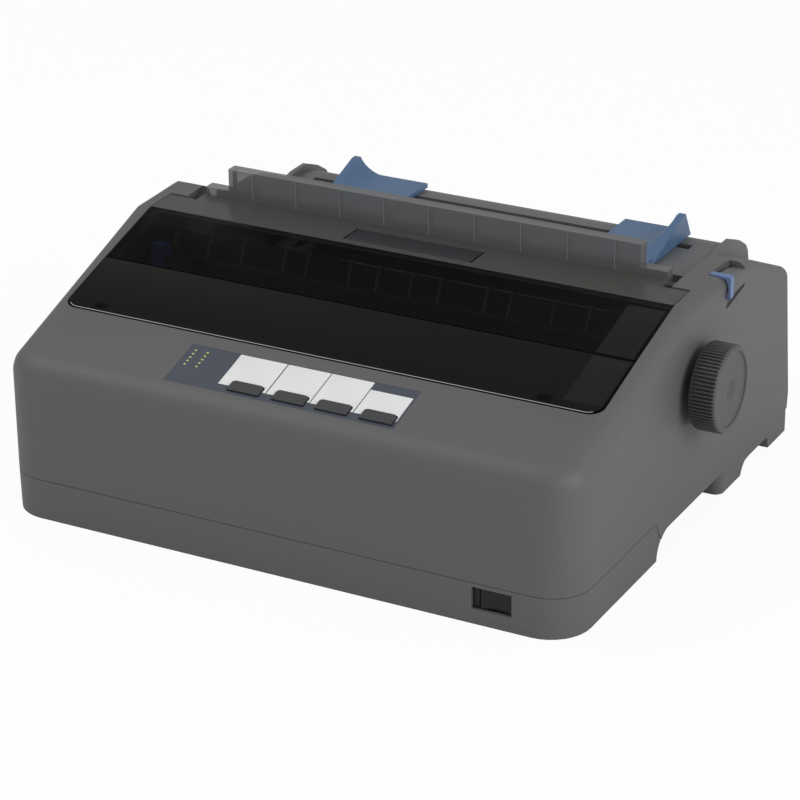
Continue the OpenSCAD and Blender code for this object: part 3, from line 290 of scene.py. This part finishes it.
def shader(name):
    """A new material with its node tree and its main shader."""
    mat = bpy.data.materials.new(name)
    mat.use_nodes = True
    return mat, mat.node_tree, mat.node_tree.nodes["Principled BSDF"]


def rgba(colour):
    """The colour with an alpha of one."""
    return (*colour, 1.0)


def plain(name, colour, rough, metal=0.0, grain_mm=0.0, grain=0.0, spec=0.5):
    """A plain finish. Grain is a fine noise in Object coordinates that tilts the surface normal, as on
    moulded plastic or brushed sheet."""
    mat, nt, bsdf = shader(name)
    bsdf.inputs["Base Color"].default_value = rgba(colour)
    bsdf.inputs["Roughness"].default_value = rough
    bsdf.inputs["Metallic"].default_value = metal
    bsdf.inputs["Specular IOR Level"].default_value = spec
    if grain:
        coords = nt.nodes.new("ShaderNodeTexCoord")
        noise = nt.nodes.new("ShaderNodeTexNoise")
        noise.inputs["Scale"].default_value = 1 / (grain_mm * MM)
        noise.inputs["Detail"].default_value = 2.0
        bump = nt.nodes.new("ShaderNodeBump")
        bump.inputs["Strength"].default_value = grain
        bump.inputs["Distance"].default_value = 0.0001
        nt.links.new(coords.outputs["Object"], noise.inputs["Vector"])
        nt.links.new(noise.outputs["Fac"], bump.inputs["Height"])
        nt.links.new(bump.outputs["Normal"], bsdf.inputs["Normal"])
    return mat


def tinted(name, colour, alpha, rough, spec):
    """A see-through plastic: a dark gloss surface that lets a share of what is behind it through."""
    mat, nt, bsdf = shader(name)
    bsdf.inputs["Base Color"].default_value = rgba(colour)
    bsdf.inputs["Roughness"].default_value = rough
    bsdf.inputs["Alpha"].default_value = alpha
    bsdf.inputs["Specular IOR Level"].default_value = spec
    return mat


class CaseSettings(bpy.types.PropertyGroup):
    """Colours and edges of the case."""

    colour: FloatVectorProperty(name="Case colour", description="Colour of both case halves and the knob",
                                subtype="COLOR", size=3, min=0, max=1, default=(0.104, 0.104, 0.104))
    edge: FloatProperty(name="Edge", description="Width of the soft edge on the case, in millimetres",
                        default=0.4, min=0.0, max=1.0)
    grain: FloatProperty(name="Grain", description="Strength of the fine texture of the case",
                         default=0.35, min=0.0, max=1.0)
    knob_ribs: IntProperty(name="Knob ribs", description="Number of ribs round the platen knob",
                           default=70, min=40, max=90)


class CoverSettings(bpy.types.PropertyGroup):
    """Tint of the cover and its upright plate."""

    tint: FloatVectorProperty(name="Cover tint", description="Colour of the smoke tinted cover",
                              subtype="COLOR", size=3, min=0, max=1, default=(0.003, 0.0028, 0.0025))
    opacity: FloatProperty(name="Cover opacity", description="Share of the light that the cover stops",
                           subtype="FACTOR", default=0.55, min=0.3, max=1.0)
    strip_opacity: FloatProperty(name="Strip opacity", description="Share of the light that the strip stops",
                                 subtype="FACTOR", default=0.85, min=0.3, max=1.0)
    plate_opacity: FloatProperty(name="Plate opacity", description="Share of the light that the plate stops",
                                 subtype="FACTOR", default=0.72, min=0.2, max=1.0)


class GuideSettings(bpy.types.PropertyGroup):
    """Colours of the paper guides and levers."""

    guide: FloatVectorProperty(name="Guide colour", description="Colour of the paper guide",
                               subtype="COLOR", size=3, min=0, max=1, default=(0.115, 0.118, 0.122))
    blue: FloatVectorProperty(name="Edge guide colour", description="Colour of the edge guides",
                              subtype="COLOR", size=3, min=0, max=1, default=(0.070, 0.135, 0.250))
    lever: FloatVectorProperty(name="Lever colour", description="Colour of the levers",
                               subtype="COLOR", size=3, min=0, max=1, default=(0.115, 0.175, 0.34))


class StageSettings(bpy.types.PropertyGroup):
    """Floor and lights."""

    floor: FloatVectorProperty(name="Floor colour", description="Colour of the floor", subtype="COLOR",
                               size=3, min=0, max=1, default=(0.9, 0.9, 0.9))
    key: FloatProperty(name="Key light", description="Power of the lamp over the left shoulder, in watts",
                       default=9.0, min=0.0, max=200.0)
    fill: FloatProperty(name="Fill light", description="Power of the lamp at the right, in watts",
                        default=16.0, min=0.0, max=200.0)


def settings():
    """The settings of the case, the cover and the guides."""
    scene = bpy.context.scene
    return scene.printer_case, scene.printer_cover, scene.printer_guide


# Finishes are made once, when a piece first asks for them
_made = {}


def finish(name):
    """The finish of that name, made from the settings."""
    if name in _made:
        return _made[name]
    case, cover, guide = settings()
    grey = tuple(case.colour)
    # plain takes a name, a colour and a roughness, and tinted a name, a colour, the share of the light that
    # it stops, a roughness and a shine
    recipes = {
        "case": lambda: plain("case_plastic", grey, 0.55, grain_mm=0.35, grain=case.grain),
        # the knob is the case plastic darkened to 0.65 of its grey: painted shade that offsets the fill lamp
        # on its face
        "knob": lambda: plain("knob_plastic_painted_shade", tuple(c * 0.65 for c in grey), 0.5, grain_mm=0.4, grain=0.2),
        "cover": lambda: tinted("smoke_plastic", tuple(cover.tint), cover.opacity, 0.15, 0.06),
        "strip": lambda: tinted("strip_plastic", (0.078, 0.074, 0.069), cover.strip_opacity, 0.3, 0.2),
        "plate": lambda: tinted("plate_plastic", (0.155, 0.155, 0.152), cover.plate_opacity, 0.25, 0.4),
        "guide": lambda: plain("guide_plastic", tuple(guide.guide), 0.5, grain_mm=0.4, grain=0.25),
        "blue": lambda: plain("blue_plastic", tuple(guide.blue), 0.42, grain_mm=0.4, grain=0.15),
        "lever": lambda: plain("lever_plastic", tuple(guide.lever), 0.4),
        "deep_blue": lambda: plain("deep_blue_plastic", (0.10, 0.12, 0.48), 0.4),
        "rubber": lambda: plain("black_rubber", (0.022, 0.022, 0.022), 0.75, grain_mm=0.5, grain=0.4),
        "steel": lambda: plain("bright_steel", (0.55, 0.55, 0.55), 0.3, metal=1.0, grain_mm=0.6, grain=0.1),
        "zinc": lambda: plain("zinc_sheet", (0.42, 0.43, 0.44), 0.42, metal=1.0, grain_mm=2.5, grain=0.15),
        "board": lambda: plain("board_green", (0.012, 0.085, 0.035), 0.35),
        "black": lambda: plain("black_plastic", (0.018, 0.018, 0.018), 0.45, grain_mm=0.5, grain=0.15),
        "cartridge": lambda: plain("cartridge_plastic", (0.045, 0.043, 0.041), 0.6),
        # painted highlight: a light grey for the black ribs where they catch the light
        "ribs": lambda: plain("rib_painted_highlight", (0.28, 0.28, 0.27), 0.5),
        # painted highlight: a light grey for edges that catch the light
        "edge": lambda: plain("painted_edge_highlight", (0.24, 0.24, 0.235), 0.4),
        # painted highlight: a bright strip for the reflection along the cover's front edge
        "front_highlight": lambda: plain("cover_front_highlight", (0.36, 0.36, 0.355), 0.4),
        "front_zone": lambda: tinted("front_zone_plastic", (0.012, 0.0115, 0.0105), 0.75, 0.3, 0.06),
        "ledge": lambda: tinted("ledge_plastic", (0.030, 0.029, 0.027), 0.5, 0.3, 0.06),
        "seam": lambda: plain("seam_black", (0.003, 0.003, 0.003), 0.8, spec=0.0),
        "recess": lambda: tinted("recess_plastic", (0.036, 0.038, 0.043), 0.8, 0.35, 0.2),
        "dark": lambda: plain("dark_grey_plastic", (0.035, 0.035, 0.036), 0.45),
        "switch": lambda: plain("switch_plastic", (0.010, 0.010, 0.011), 0.35, spec=0.3),
        "button": lambda: plain("button_plastic", (0.040, 0.041, 0.045), 0.42, grain_mm=0.4, grain=0.1),
        "film": lambda: plain("panel_film", (0.052, 0.062, 0.085), 0.45),
        "white": lambda: plain("white_print", (0.80, 0.81, 0.80), 0.5),
        "light": lambda: plain("lamp_lens", (0.42, 0.52, 0.20), 0.25),
        "nylon": lambda: plain("grey_nylon", (0.16, 0.16, 0.155), 0.45),
        "inked": lambda: plain("inked_ribbon", (0.008, 0.008, 0.012), 0.8),
    }
    _made[name] = recipes[name]()
    return _made[name]


# Operators, one for each piece or group of like pieces


class PRINTER_OT_case(bpy.types.Operator):
    """Both halves of the case with soft edges."""

    bl_idname = "printer.case"
    bl_label = "Case"

    def execute(self, context):
        case = settings()[0]
        dress("upper_case", finish("case"), case.edge, smooth_deg=24)
        dress("lower_case", finish("case"), case.edge, smooth_deg=24)
        dress("rubber_feet", finish("rubber"), 0.5)
        return {"FINISHED"}


class PRINTER_OT_cover(bpy.types.Operator):
    """The tinted cover and its upright ribbed plate."""

    bl_idname = "printer.cover"
    bl_label = "Cover"

    def execute(self, context):
        cover = dress("printer_cover", finish("cover"), 0.5, segments=3)
        second_finish(cover, finish("strip"), lambda x, y, z: y > BEND[1] + 1)
        second_finish(cover, finish("plate"), lambda x, y, z: y > RISER_Y - 0.5)
        # the plate's rounded edges get the painted highlight grey
        dress("cover_plate", finish("plate"), 0.3, edge_material=finish("edge"))

        # fine upright lines where the ribs meet the plate, carried down over the bar; they mark the real
        # ribs, and their light grey is a painted highlight
        foot = BEND[2] + 0.3
        lines = [tablet("line", oblong(x, x + LINE_WIDTH, foot, LINE_TOP), low=-RISER_Y,
                        high=-RISER_Y + 0.06, to_place=upright, edge=0.02)
                 for x in FIRST_LINE_X + LINE_STEP * np.arange(LINE_COUNT)]
        link("plate_lines", join_meshes("plate_lines", lines), finish("edge"), "cover_body")

        # front edge of the sheets on the slope: a quarter circle at each corner, a little inside the cover
        inset = 0.6
        front, half, r = slope_u(COVER_FRONT_Y) + inset, COVER_HALF - inset, COVER_CORNER - inset
        t = np.linspace(0, math.pi / 2, 9)
        right = np.stack([half - r + r * np.sin(t), front + r - r * np.cos(t)], -1)
        edge = np.concatenate([right[::-1] * (-1, 1), right])

        # the front zone of the tint, and the seam behind it
        zone = np.concatenate([edge, [(half, SEAM_U), (-half, SEAM_U)]])
        self.lay("cover_front_zone", [zone], "front_zone", top=0.02)
        seam_width = 0.9
        self.lay("cover_seam", [oblong(-half, half, SEAM_U, SEAM_U + seam_width)], "seam", top=0.03)

        # a ledge along the right side, from its inner edge to its outer one, with a gap at its front end, at
        # its back end, and on both sides of the seam
        inner, outer = 132, half - 1
        end_gap, front_gap, back_gap = 6, 1, 2
        ledges = [oblong(inner, outer, front + end_gap, SEAM_U - front_gap),
                  oblong(inner, outer, SEAM_U + back_gap, -end_gap)]
        self.lay("cover_ledge", ledges, "ledge", top=0.04)

        # a painted highlight along the front edge, a bright strip that stands in for the reflection on it,
        # without the outer points of both corners
        front_highlight, highlight_width = edge[4:-5], 0.5
        self.lay("cover_front_highlight", [np.concatenate([front_highlight, front_highlight[::-1] + (0, highlight_width)])], "front_highlight", top=0.05)

        # shallow recess on the flat strip with a dark line at each end
        half, near, far, width = 37.2, 5.0, 21.0, 0.8
        ends = [oblong(x, x + width, near, far) for x in (-half - width, half)]
        self.lay("strip_recess", [oblong(-half, half, near, far)], "recess", top=0.02, to_place=on_flat)
        self.lay("strip_lines", ends, "seam", top=0.03, to_place=on_flat)
        return {"FINISHED"}

    def lay(self, name, outlines, look, top, to_place=on_slope):
        """Thin sheets on the cover, one on each outline, from a little below its surface up to the top."""
        sheets = [tablet(name, outline, low=-0.1, high=top, to_place=to_place, edge=0.01)
                  for outline in outlines]
        link(name, join_meshes(name, sheets), finish(look), "cover_body")


class PRINTER_OT_knob(bpy.types.Operator):
    """The ribbed platen knob with its raised rim and its centre dimple."""

    bl_idname = "printer.knob"
    bl_label = "Platen knob"

    def execute(self, context):
        x0, x1, r = KNOB_END - KNOB_DEPTH, KNOB_END, KNOB_R
        # radius, x and the share of the rib depth, from the hub over the rim to the middle of the face
        rows = [(8.0, x0, 0), (8.0, x0 + 0.1, 0), (8.0, x0 + 7, 0), (20.1, x0 + 7, 0),
                (20.1, x0 + 0.1, 0), (20.4, x0, 0), (22.0, x0, 0), (22.6, x0 + 0.4, 0.4), (r, x0 + 1.2, 1),
                (r, x0 + 5, 1), (r, x1 - 2.4, 1), (r - 0.1, x1 - 1.6, 0.7), (r - 0.5, x1 - 0.8, 0.15),
                (r - 1.2, x1 - 0.2, 0), (r - 1.9, x1, 0), (r - 2.9, x1, 0), (r - 3.3, x1 - 0.2, 0),
                (r - 3.5, x1 - 0.7, 0), (r - 4.2, x1 - 0.8, 0), (10, x1 - 0.8, 0), (5.4, x1 - 0.8, 0),
                (4.9, x1 - 0.95, 0), (3.8, x1 - 1.6, 0), (2.2, x1 - 2.0, 0), (1e-4, x1 - 2.1, 0)]
        mesh = turned("knob_skin", rows, PLATEN, n=560, ribs=settings()[0].knob_ribs, rib_depth=1.1)
        knob = link("knob_skin", mesh, finish("knob"), "platen_body", ("platen_knob",))

        rim_start, rim_end, rim_inside, rib_foot = x0 + 0.8, x1 - 1.2, 20.6, r - 0.55

        def shaded_groove(x, y, z):
            """True for the faces of the rim that lie between its ribs, where painted shade goes."""
            from_axis = np.hypot(y - PLATEN[0], z - PLATEN[1])
            return (x > rim_start) & (x < rim_end) & (from_axis > rim_inside) & (from_axis < rib_foot)

        # the faces between the ribs get a darker grey: painted shade in the grooves
        second_finish(knob, finish("dark"), shaded_groove)
        return {"FINISHED"}


class PRINTER_OT_panel(bpy.types.Operator):
    """The control panel: film, light fields, lamps and buttons."""

    bl_idname = "printer.panel"
    bl_label = "Control panel"

    def execute(self, context):
        paint("panel_label", finish("film"))
        paint("indicator_lights", finish("light"))
        paint("panel_board", finish("board"))
        # white fields (x0, x1, y of the back, x of the button), each cut round its button at the front. The
        # corners of the cut are points measured in from its side, and from its back
        front_y, cut_y, half, gap = 15.8, 19.5, 9.5, 0.5
        corner = [(0, -1.5), (0.6, -0.4), (2, 0)]
        fields = [(-40.2, -13.1, 39.2, -24.2), (-12.4, 12.0, 39.2, 1.4), (12.6, 36.6, 39.2, 25.8),
                  (37.2, 61.0, 33.8, 51.0)]
        near, cut = slope_u(front_y), slope_u(cut_y) + gap
        sheets = []
        for x0, x1, y1, button_x in fields:
            far = slope_u(y1)
            left, right = button_x - half, button_x + half
            outline = [(x0, cut)]
            if left > x0:
                outline = [(x0, near), (left, near)] + [(left + a, cut + b) for a, b in corner]
            if right < x1:
                outline += [(right - a, cut + b) for a, b in corner[::-1]] + [(right, near), (x1, near)]
            else:
                outline += [(x1, cut)]
            outline += [(x1, far), (x0, far)]
            sheets.append(tablet("field", outline, low=-0.15, high=0.02, to_place=on_slope, edge=0.03))
        link("panel_fields", join_meshes("panel_fields", sheets), finish("white"), "chassis_body")
        for i in range(1, 5):
            dress(f"button_{i}", finish("button"), 0.3)
        return {"FINISHED"}


class PRINTER_OT_guides(bpy.types.Operator):
    """The rear paper guide with its two edge guides."""

    bl_idname = "printer.guides"
    bl_label = "Paper guides"

    def execute(self, context):
        dress("paper_guide", finish("guide"), 0.35)
        dress("edge_guide_left", finish("blue"), 0.4)
        dress("edge_guide_right", finish("blue"), 0.4)
        return {"FINISHED"}


class PRINTER_OT_levers(bpy.types.Operator):
    """The release lever, the paper thickness lever and the ribbon knob."""

    bl_idname = "printer.levers"
    bl_label = "Levers"

    def execute(self, context):
        dress("release_lever", finish("lever"), 0.3)
        dress("thickness_lever", finish("deep_blue"), 0.5)
        dress("ribbon_knob", finish("dark"), 0.3)
        return {"FINISHED"}


class PRINTER_OT_mechanism(bpy.types.Operator):
    """Finishes of the printing mechanism, the paper feed and the boards."""

    bl_idname = "printer.mechanism"
    bl_label = "Mechanism"

    def execute(self, context):
        looks = {
            "steel": ["carriage_rod", "platen_shaft", "tractor_rod", "tractor_shaft", "chassis_screws"],
            "zinc": ["base_plate", "frame_left", "frame_right", "feed_motor", "carriage_motor",
                     "transformer", "parallel_connector", "serial_connector", "usb_connector"],
            "rubber": ["platen", "pinch_rollers", "timing_belt"],
            "board": ["main_board", "power_board"],
            "black": ["ac_inlet", "carriage", "print_head"],
            "cartridge": ["ribbon_cartridge"],
            "dark": ["paper_chute", "tractor_left", "tractor_right", "tractor_flap_left",
                     "tractor_flap_right"],
            "nylon": ["platen_gear", "platen_bushes", "motor_pinion", "reduction_gear", "idler_gear",
                      "drive_pulley", "idler_pulley", "sprocket_left", "sprocket_right"],
            "inked": ["ribbon"],
        }
        for look, nodes in looks.items():
            for node in nodes:
                paint(node, finish(look))
        # the bar's ribs are the faces this near to a rib's middle; they get a light grey, a painted
        # highlight on black ribs that catch the light
        reach = 1.0
        bar = dress("ribbed_guide", finish("black"), 0.0)
        second_finish(bar, finish("ribs"), lambda x, y, z: np.abs(x[:, None] - RIB_X).min(1) < reach)
        # front edges of the ribs, drawn down over the bar, on an outline of (y, z), in the same painted
        # highlight grey
        rib, half = [(145.6, 97.4), (147.0, 97.4), (152.2, 108.4), (150.9, 108.9)], 0.7
        edges = [tablet("rib", rib, low=x - half, high=x + half, to_place=along_bar, edge=0.1)
                 for x in RIB_X]
        link("rib_edges", join_meshes("rib_edges", edges), finish("ribs"), "chassis_body")
        return {"FINISHED"}


class PRINTER_OT_switch(bpy.types.Operator):
    """The power switch."""

    bl_idname = "printer.switch"
    bl_label = "Power switch"

    def execute(self, context):
        dress("switch_housing", finish("switch"), 0.25)
        dress("power_rocker", finish("switch"), 0.3)
        return {"FINISHED"}


class PRINTER_OT_stage(bpy.types.Operator):
    """Floor, lamps, world and the camera at the photograph's angle."""

    bl_idname = "printer.stage"
    bl_label = "Stage"

    def execute(self, context):
        stage = context.scene.printer_stage
        scene = context.scene
        scene.view_settings.view_transform = "Standard"

        # floor: a plain disc that shines white for this share to the camera and through clear pieces, and is
        # lit like paper for the rest
        radius, n, white = 6.0, 96, 0.94
        a = np.linspace(0, 2 * math.pi, n, endpoint=False)
        ring = np.stack([radius * np.cos(a), radius * np.sin(a), np.zeros(n)], -1)
        mesh = bpy.data.meshes.new("floor")
        mesh.from_pydata(ring.tolist(), [], [list(range(n))])
        floor = bpy.data.objects.new("floor", mesh)
        scene.collection.objects.link(floor)
        mat, nt, bsdf = shader("floor_paper")
        bsdf.inputs["Base Color"].default_value = rgba(stage.floor)
        bsdf.inputs["Roughness"].default_value = 0.9
        bsdf.inputs["Specular IOR Level"].default_value = 0.0
        path = nt.nodes.new("ShaderNodeLightPath")
        glow = nt.nodes.new("ShaderNodeEmission")
        glow.inputs["Color"].default_value = (1, 1, 1, 1)
        glow.inputs["Strength"].default_value = 1.0
        share = nt.nodes.new("ShaderNodeMath")
        share.operation = "MULTIPLY"
        share.inputs[1].default_value = white
        seen = nt.nodes.new("ShaderNodeMath")
        seen.operation = "MAXIMUM"
        mix = nt.nodes.new("ShaderNodeMixShader")
        out = nt.nodes["Material Output"]
        nt.links.new(path.outputs["Is Camera Ray"], seen.inputs[0])
        nt.links.new(path.outputs["Is Transmission Ray"], seen.inputs[1])
        nt.links.new(seen.outputs[0], share.inputs[0])
        nt.links.new(share.outputs[0], mix.inputs[0])
        nt.links.new(bsdf.outputs[0], mix.inputs[1])
        nt.links.new(glow.outputs[0], mix.inputs[2])
        nt.links.new(mix.outputs[0], out.inputs["Surface"])
        mesh.materials.append(mat)

        # world: white to the camera, half as strong as a light and to mirrors
        world = bpy.data.worlds.new("studio")
        scene.world = world
        world.use_nodes = True
        wt = world.node_tree
        back = wt.nodes["Background"]
        back.inputs["Color"].default_value = (1, 1, 1, 1)
        lit = wt.nodes.new("ShaderNodeLightPath")
        level = wt.nodes.new("ShaderNodeMapRange")
        level.inputs["To Min"].default_value = 0.5
        level.inputs["To Max"].default_value = 1.0
        wt.links.new(lit.outputs["Is Camera Ray"], level.inputs["Value"])
        wt.links.new(level.outputs["Result"], back.inputs["Strength"])

        def lamp(name, spot, target, size, watts):
            """A square area lamp at a spot, turned to the target."""
            data = bpy.data.lights.new(name, "AREA")
            data.size = size
            data.energy = watts
            obj = bpy.data.objects.new(name, data)
            obj.location = spot
            obj.rotation_euler = (Vector(target) - Vector(spot)).to_track_quat("-Z", "Y").to_euler()
            scene.collection.objects.link(obj)

        middle, size = (0, 0, 0.06), 1.2
        lamp("key_lamp", (-0.9, -0.5, 1.5), middle, size, stage.key)
        lamp("fill_lamp", (1.7, -0.3, 0.9), middle, size, stage.fill)

        # camera solved from the photograph's straight edges: its angles, the place it looks at, how far off
        # it is, and its focal length in pixels of a picture that is 800 pixels wide
        azimuth, elevation, roll = math.radians(28.24), math.radians(24.53), -0.01
        target = np.array([-11.54, -3.3, 41.08]) * MM
        distance, focal, picture = 1.67975, 3150.07, 800
        out_of = np.array([math.cos(elevation) * math.sin(azimuth), -math.cos(elevation) * math.cos(azimuth),
                           math.sin(elevation)])
        right = np.array([math.cos(azimuth), math.sin(azimuth), 0.0])
        up = np.cross(out_of, right)
        right2 = right * math.cos(roll) + up * math.sin(roll)
        up2 = -right * math.sin(roll) + up * math.cos(roll)
        spot = target + out_of * distance
        data = bpy.data.cameras.new("camera")
        data.sensor_width = 36.0
        data.lens = focal / picture * data.sensor_width
        data.clip_start = 0.05
        camera = bpy.data.objects.new("camera", data)
        m = Matrix.Identity(4)
        for row in range(3):
            m[row][0], m[row][1], m[row][2], m[row][3] = right2[row], up2[row], out_of[row], spot[row]
        camera.matrix_world = m
        scene.collection.objects.link(camera)
        scene.camera = camera
        return {"FINISHED"}


OPERATORS = (PRINTER_OT_case, PRINTER_OT_cover, PRINTER_OT_knob, PRINTER_OT_panel, PRINTER_OT_guides,
             PRINTER_OT_levers, PRINTER_OT_mechanism, PRINTER_OT_switch, PRINTER_OT_stage)


class PRINTER_PT_panel(bpy.types.Panel):
    """Lists the pieces of the printer."""

    bl_label = "Dot matrix printer"
    bl_idname = "PRINTER_PT_panel"
    bl_space_type = "VIEW_3D"
    bl_region_type = "UI"
    bl_category = "Printer"

    def draw(self, context):
        for op in OPERATORS:
            self.layout.operator(op.bl_idname)


SETTINGS = {"printer_case": CaseSettings, "printer_cover": CoverSettings, "printer_guide": GuideSettings,
            "printer_stage": StageSettings}
CLASSES = tuple(SETTINGS.values()) + OPERATORS + (PRINTER_PT_panel,)


def register():
    """Registers the classes and gives the scene their settings."""
    for cls in CLASSES:
        bpy.utils.register_class(cls)
    for name, cls in SETTINGS.items():
        setattr(bpy.types.Scene, name, PointerProperty(type=cls))


def unregister():
    """Takes the settings and the classes away again."""
    for name in SETTINGS:
        delattr(bpy.types.Scene, name)
    for cls in reversed(CLASSES):
        bpy.utils.unregister_class(cls)


def main():
    """Builds every piece in order."""
    register()
    for op in OPERATORS:
        group, name = op.bl_idname.split(".")
        getattr(getattr(bpy.ops, group), name)()


if __name__ == "__main__":
    main()
